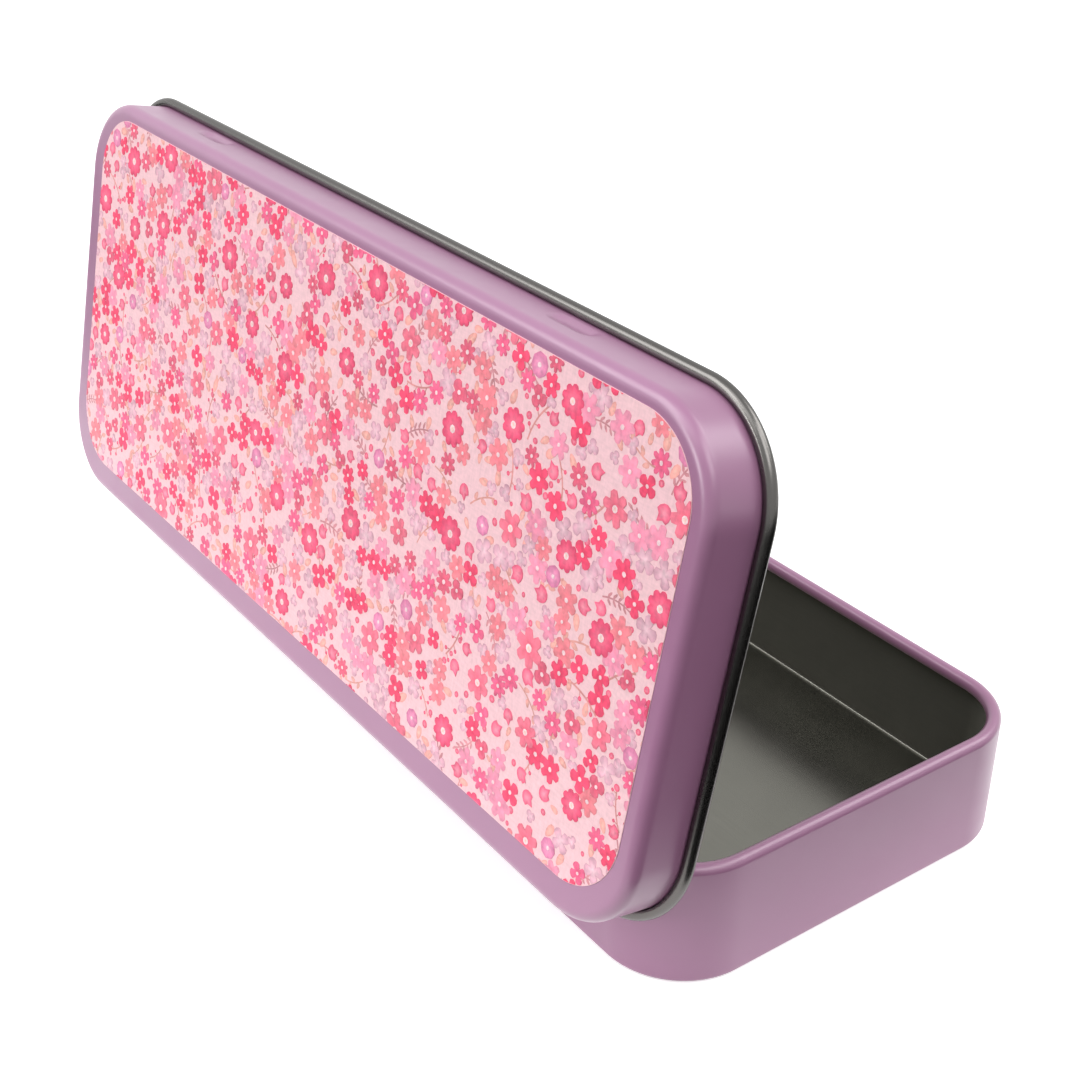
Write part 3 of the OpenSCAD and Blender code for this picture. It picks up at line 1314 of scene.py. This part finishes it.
@dataclass
class FloralPrint:
    """The printed sheet on the lid: pale pink, with generic small florals in inks one over the other."""

    lid: Lid
    end_margin: float = 4.5
    side_margin: float = 4.25
    radius: float = 11.7
    shift: Point = (-1.0, -1.6)
    sheet: float = 0.1
    whole: float = 0.2
    bed: float = 0.02
    trim: float = 0.08
    candidates: float = 2.5
    cluster: float = 11.0
    cluster_shift: float = 9.0
    overlap: float = 2.5
    paper: str = "#F9CED4"
    paper_mottle: float = 0.03
    inks: tuple[InkLayer, ...] = INKS

    @property
    def size(self) -> Point:
        """Length and width of the sheet."""
        return self.lid.length - 2 * self.end_margin, self.lid.width - 2 * self.side_margin

    @property
    def step(self) -> float:
        """How much higher each ink lies than the one before it."""
        return (self.whole - self.sheet) / (len(self.inks) + 2)

    def corners(self, margin: float) -> list[Point]:
        """Gives the sheet's outline, drawn in by a margin.

        Args:
            margin: the margin.

        Returns:
            The outline's points.
        """
        length, width = self.size
        outline = Outline(length - 2 * margin, width - 2 * margin, self.radius - margin)
        dx, dy = self.shift
        return [(x + dx, y + dy) for x, y in outline.line(outline.radius)]

    def ground(self) -> Mesh:
        """Makes the printed sheet itself.

        Returns:
            The closed mesh.
        """
        outline = self.corners(0.0)
        count = len(outline)
        points = [(x, y, self.lid.top + z) for z in (0.0, self.sheet) for x, y in outline]
        sides = [(i, (i + 1) % count, count + (i + 1) % count, count + i) for i in range(count)]
        faces = [tuple(range(count)), tuple(range(count, 2 * count)), *sides]
        return closed(new_mesh("print_ground", points, faces))

    def strewn(self, tree: Tree, given: dict[str, Socket], level: Level) -> Socket:
        """Lays out the middles of a level's motifs.

        Args:
            tree: the level's tree.
            given: its inputs.
            level: the level. The levels that it keeps clear of are laid out too.

        Returns:
            The points.
        """
        place = add(tree, "GeometryNodeInputPosition").outputs[0]
        ranks = list(Level)
        before: list[Socket] = []
        for rank in ranks[: ranks.index(level) + 1]:
            laid = {"Distance Min": rank.spacing, "Density Max": given["Candidates"], "Seed": rank.seed}
            laid["Mesh"] = given["Geometry"]
            points = add(tree, "GeometryNodeDistributePointsOnFaces", laid, distribute_method="POISSON")
            kept = points.outputs["Points"]
            moved = {0: place, 1: (0.0, 0.0, self.cluster_shift * rank.seed)}
            own = add(tree, "ShaderNodeVectorMath", moved, operation="ADD").outputs[0]
            cluster = {"Vector": own, "Scale": 1 / self.cluster, "Detail": 1.0}
            clouds = add(tree, "ShaderNodeTexNoise", cluster).outputs["Fac"]
            cuts = [(clouds, rank.bare)]
            for earlier, other in zip(before, ranks):
                away = add(tree, "GeometryNodeProximity", {0: earlier}, target_element="POINTS")
                cuts.append((away.outputs["Distance"], other.reach))
            for value, limit in cuts:
                cut = add(tree, "ShaderNodeMath", {0: value, 1: limit}, operation="LESS_THAN").outputs[0]
                rest = {"Geometry": kept, "Selection": cut}
                kept = add(tree, "GeometryNodeDeleteGeometry", rest, domain="POINT").outputs[0]
            before.append(kept)
        return before[-1]

    def scatter_tree(self, level: Level) -> Tree:
        """Builds the tree that strews a level's motifs.

        Args:
            level: the level.

        Returns:
            A tree with sizes, seeds and motifs as named inputs.
        """
        sizes = ("Candidates", "Share from", "Share to", "Smallest", "Largest", "Height")
        kinds = {"Motifs": "Collection", "Motif count": "Int", "Material": "Material"}
        tree, given = new_tree("scatter_" + level.name.lower(), {**dict.fromkeys(sizes, "Float"), **kinds})
        last = add(tree, "ShaderNodeMath", {0: given["Motif count"], 1: 1.0}, operation="SUBTRACT").outputs[0]
        draws = (
            (0.0, 1.0),
            (0.0, 2 * math.pi),
            (given["Smallest"], given["Largest"]),
            (0, last),
            (0.0, self.step / 2),
            (0.0, 1.0),
        )
        drawn = []
        for number, (low, high) in enumerate(draws, start=1):
            kind, one, two = ("INT", 4, 5) if high is last else ("FLOAT", 2, 3)
            ends = {one: low, two: high, "Seed": level.seed + number}
            node = add(tree, "FunctionNodeRandomValue", ends, data_type=kind)
            drawn.append(next(output for output in node.outputs if output.enabled))
        pick, angle, radius, motif, lift, tint = drawn
        tests = []
        for more, less in ((pick, given["Share from"]), (given["Share to"], pick)):
            tests.append(add(tree, "ShaderNodeMath", {0: more, 1: less}, operation="GREATER_THAN").outputs[0])
        chosen = add(tree, "ShaderNodeMath", dict(enumerate(tests)), operation="MULTIPLY").outputs[0]
        tall = add(tree, "ShaderNodeMath", {0: given["Height"], 1: lift}, operation="ADD").outputs[0]
        case = {"Collection": given["Motifs"], "Separate Children": True}
        laid = {
            "Points": self.strewn(tree, given, level),
            "Selection": chosen,
            "Instance": add(tree, "GeometryNodeCollectionInfo", case).outputs[0],
            "Pick Instance": True,
            "Instance Index": motif,
            "Rotation": add(tree, "ShaderNodeCombineXYZ", {"Z": angle}).outputs[0],
            "Scale": add(tree, "ShaderNodeCombineXYZ", {"X": radius, "Y": radius, "Z": tall}).outputs[0],
        }
        placed = add(tree, "GeometryNodeInstanceOnPoints", laid).outputs[0]
        tints = {"Geometry": placed, "Name": "tint", "Value": tint}
        tinted = add(tree, "GeometryNodeStoreNamedAttribute", tints, data_type="FLOAT", domain="INSTANCE")
        end_tree(tree, tinted.outputs[0], given["Material"])
        return tree

    def trimmed(self, mesh: Mesh) -> Mesh:
        """Cuts off what lies past the sheet's edge, as the sheet is cut after it is printed.

        Args:
            mesh: motifs, lying flat.

        Returns:
            The same mesh, closed again where it was cut.
        """
        outline = self.corners(self.trim)
        work = bmesh.new()
        work.from_mesh(mesh)
        for one, two in zip(outline, [*outline[1:], outline[0]]):
            outward = Vector((two[1] - one[1], one[0] - two[0], 0))
            if outward.length < HAIR:
                continue
            outward.normalize()
            start = Vector((*one, 0))
            beyond = (v for v in work.verts if (v.co - start).dot(outward) > 0)
            # A dictionary keeps its order, so that every run cuts in the same order.
            past = dict.fromkeys(f for v in beyond for f in v.link_faces)
            if not past:
                continue
            edges = dict.fromkeys(e for f in past for e in f.edges)
            cut = [*past, *edges, *dict.fromkeys(v for f in past for v in f.verts)]
            bmesh.ops.bisect_plane(
                work, geom=cut, dist=HAIR, plane_co=start, plane_no=outward, clear_outer=True
            )
            bmesh.ops.holes_fill(work, edges=[e for e in work.edges if e.is_boundary], sides=0)
        bmesh.ops.delete(work, geom=[v for v in work.verts if not v.link_faces], context="VERTS")
        work.to_mesh(mesh)
        work.free()
        return mesh

    def mapped(self, mesh: Mesh) -> Mesh:
        """Gives a flat piece a map that lies over the whole sheet.

        Args:
            mesh: the piece, lying flat.

        Returns:
            The same mesh.
        """
        length, width = self.size
        layer = mesh.uv_layers.new(name="OFBake")
        spots = np.array([v.co for v in mesh.vertices])[[loop.vertex_index for loop in mesh.loops]]
        flat = (spots[:, :2] - self.shift) / (length, length) + (0.5, width / length / 2)
        layer.data.foreach_set("uv", flat.astype(np.float32).ravel())
        return mesh

    def ink(self, layer: InkLayer, height: float, tree: Tree) -> Mesh:
        """Prints one ink. Its motifs' middles may lie a little past the sheet's edges.

        Args:
            layer: the ink.
            height: the height of its face over its bed.
            tree: the tree of its level.

        Returns:
            The ink's mesh, lying flat on the closed lid.
        """
        name = "print_" + layer.name
        length, width = self.size
        middle = (*self.shift, self.lid.top + self.sheet - self.bed)
        zone = new_rectangle("print_zone", middle, (length / 2 + self.overlap, width / 2 + self.overlap))
        case = bpy.data.collections.new(name + "_motifs")
        bpy.context.scene.collection.children.link(case)
        for index, motif in enumerate(layer.motifs):
            case.objects.link(bpy.data.objects.new(f"{index}_{motif.value}", motif.mesh()))
        values = {
            "Candidates": self.candidates,
            "Share from": layer.share[0],
            "Share to": layer.share[1],
            "Smallest": layer.radius[0],
            "Largest": layer.radius[1],
            "Height": height,
            "Motifs": case,
            "Motif count": len(layer.motifs),
        }
        mesh = run_nodes(tree, zone, values, name)
        for motif in list(case.objects):
            bpy.data.objects.remove(motif)
        bpy.data.collections.remove(case)
        return self.mapped(self.trimmed(mesh))

    def build(self) -> None:
        """Makes and dresses the sheet and its inks."""
        turn = self.lid.open_angle
        paper = PrintInk("print_paper", self.paper, turn, mottle=self.paper_mottle)
        pieces = [(self.mapped(self.ground()), paper)]
        trees = {level: self.scatter_tree(level) for level in Level}
        for index, layer in enumerate(self.inks):
            mesh = self.ink(layer, self.bed + (index + 1) * self.step, trees[layer.level])
            ink = PrintInk(mesh.name + "_ink", layer.colour, turn, layer.inner, edge=layer.edge)
            pieces.append((mesh, ink))
        for mesh, finish in pieces:
            settle(mesh, self.lid.opened(), finish, "lid", ["printed_insert"])


@dataclass
class Hinges:
    """The two straps and their wires, which keep their CAD shapes."""

    straps: tuple[str, ...] = ("hinge_strap_left", "hinge_strap_right")
    wires: tuple[str, ...] = ("hinge_wire_left", "hinge_wire_right")

    def build(self) -> None:
        """Dresses the CAD nodes."""
        finishes = (
            (self.straps, Tinplate("strap_tinplate", "#85847D"), "bare_tinplate"),
            (self.wires, DrawnWire("drawn_steel_wire", "#9A9893"), "steel_wire"),
        )
        for names, finish, slot in finishes:
            for name in names:
                node = frame["nodes"][name]
                node.data.materials.clear()
                node.data.materials.append(finish.material())
                log.info("%s: CAD node in %s", name, finish.name)


@dataclass(frozen=True)
class SoftLight:
    """A soft square light: where it hangs and its side in metres, and how bright it makes a white face."""

    name: str
    place: tuple[float, float, float]
    size: float
    level: float


@dataclass(frozen=True)
class DarkCard:
    """A dark card on the floor round the tin's two near sides, in millimetres. The lid's end mirrors it."""

    near_x: float = -119.0
    near_y: float = 118.0
    front_y: float = -260.0
    reach: float = 700.0
    z: float = 1.0
    colour: str = "#141414"

    def corners(self) -> list[tuple[float, float, float]]:
        """Gives the card's corners in metres.

        Returns:
            The corners.
        """
        x, y, front, reach = self.near_x, self.near_y, self.front_y, self.reach
        flat = ((-reach, front), (x, front), (x, y), (reach, y), (reach, reach), (-reach, reach))
        return [(a * MM, b * MM, self.z * MM) for a, b in flat]


@dataclass
class Studio:
    """The pale floor, the soft lights, the dark card and the camera. Camera sizes are in millimetres."""

    target: tuple[float, float, float] = (-3.01, -4.11, 23.39)
    distance: float = 326.37
    azimuth: float = 53.84
    elevation: float = 29.09
    roll: float = 0.77
    focal: float = 57.38
    sensor: float = 36.0
    nearest: float = 10.0
    floor_size: float = 1.8
    floor_gap: float = 0.00005
    floor_glow: float = 0.55
    floor_colour: str = "#EDEDED"
    sky_fill: float = 0.15
    card: DarkCard = DarkCard()
    lights: tuple[SoftLight, ...] = (
        SoftLight("left_light", (-1.2, 0.0, 1.6), 1.2, 0.4),
        SoftLight("right_light", (1.0, 1.2, 1.2), 1.2, 0.5),
        SoftLight("front_light", (-0.6, -1.2, 1.5), 1.2, 0.43),
        SoftLight("back_light", (0.2, 0.96, 1.74), 1.2, 0.21),
        SoftLight("corner_light", (0.52, 1.86, 0.5), 0.6, 0.27),
    )

    @staticmethod
    def shown_share(tree: Tree) -> Socket:
        """Adds a value that is 1 for rays that show the background: seen, mirrored or through glass.

        Args:
            tree: the material's or the world's tree.

        Returns:
            The value.
        """
        path = add(tree, "ShaderNodeLightPath").outputs
        share = path["Is Camera Ray"]
        for ray in ("Is Glossy Ray", "Is Transmission Ray"):
            share = add(tree, "ShaderNodeMath", {0: share, 1: path[ray]}, operation="MAXIMUM").outputs[0]
        return share

    def floor(self) -> None:
        """Makes the plain pale floor, bright enough to meet the background and still take a shadow.

        It lies a hair under the tin and lets light and looks through from below.
        """
        half = self.floor_size / 2
        material, tree = new_material("floor_paper")
        paper = add(tree, "ShaderNodeBsdfDiffuse", {"Color": linear(self.floor_colour)}).outputs[0]
        shown = {0: self.shown_share(tree), 1: self.floor_glow}
        strength = add(tree, "ShaderNodeMath", shown, operation="MULTIPLY").outputs[0]
        glow = add(tree, "ShaderNodeEmission", {"Color": linear(WHITE), "Strength": strength}).outputs[0]
        above = add(tree, "ShaderNodeAddShader", {0: paper, 1: glow}).outputs[0]
        below = add(tree, "ShaderNodeBsdfTransparent").outputs[0]
        side = add(tree, "ShaderNodeNewGeometry").outputs["Backfacing"]
        both = add(tree, "ShaderNodeMixShader", {0: side, 1: above, 2: below}).outputs[0]
        add(tree, "ShaderNodeOutputMaterial", {"Surface": both})
        mesh = new_rectangle("floor", (0.0, 0.0, -self.floor_gap), (half, half))
        mesh.materials.append(material)
        floor = new_object("floor", mesh)

    def sky(self) -> None:
        """Makes the white background, which lights the object only softly."""
        world = bpy.data.worlds.new("studio")
        bpy.context.scene.world = world
        world.use_nodes = True
        tree = world.node_tree
        tree.nodes.clear()
        fill = {"Value": self.shown_share(tree), 3: self.sky_fill, 4: 1.0}
        strength = add(tree, "ShaderNodeMapRange", fill).outputs["Result"]
        light = add(tree, "ShaderNodeBackground", {"Color": linear(WHITE), "Strength": strength})
        add(tree, "ShaderNodeOutputWorld", {"Surface": light.outputs[0]})

    @staticmethod
    def lamp(soft: SoftLight) -> None:
        """Hangs a soft light so that it faces the object.

        A lamp of P watts at d metres lights a white face to P / (pi * d)**2.

        Args:
            soft: the light.
        """
        light = bpy.data.lights.new(soft.name, "AREA")
        light.shape = "SQUARE"
        light.size = soft.size
        light.energy = soft.level * math.pi**2 * Vector(soft.place).length_squared
        lamp = new_object(soft.name, light)
        lamp.location = soft.place
        lamp.rotation_mode = "QUATERNION"
        lamp.rotation_quaternion = (-Vector(soft.place)).to_track_quat("-Z", "Y")

    def dark_card(self) -> None:
        """Lays the dark card on the floor, unseen by the camera and without a shadow of its own."""
        corners = self.card.corners()
        mesh = new_mesh("dark_card", corners, [tuple(range(len(corners)))])
        material, tree = new_material("black_card")
        matt = add(tree, "ShaderNodeBsdfDiffuse", {"Color": linear(self.card.colour)})
        add(tree, "ShaderNodeOutputMaterial", {"Surface": matt.outputs[0]})
        mesh.materials.append(material)
        card = new_object("dark_card", mesh)
        card.visible_camera = False
        card.visible_shadow = False

    def camera(self) -> None:
        """Makes the camera at the photograph's viewing angle."""
        side, rise = math.radians(self.azimuth), math.radians(self.elevation)
        back = Vector((-math.sin(side) * math.cos(rise), math.cos(side) * math.cos(rise), math.sin(rise)))
        camera = new_object("camera", bpy.data.cameras.new("camera"))
        camera.data.lens = self.focal
        camera.data.sensor_width = self.sensor
        camera.data.clip_start = self.nearest * MM
        camera.location = (Vector(self.target) + self.distance * back) * MM
        camera.rotation_mode = "QUATERNION"
        rolled = Quaternion((0, 0, 1), math.radians(self.roll))
        camera.rotation_quaternion = (-back).to_track_quat("-Z", "Y") @ rolled
        bpy.context.scene.camera = camera

    def build(self) -> None:
        """Makes the whole studio."""
        bpy.context.scene.view_settings.view_transform = "Standard"
        self.floor()
        self.sky()
        for light in self.lights:
            self.lamp(light)
        self.dark_card()
        self.camera()


def main() -> None:
    """Builds the tin in order."""
    logging.basicConfig(level=logging.INFO, format="%(name)s %(message)s")
    Base.from_frame().build()
    lid = Lid.from_frame()
    lid.build()
    FloralPrint(lid).build()
    Hinges().build()
    Studio().build()


if __name__ == "__main__":
    main()
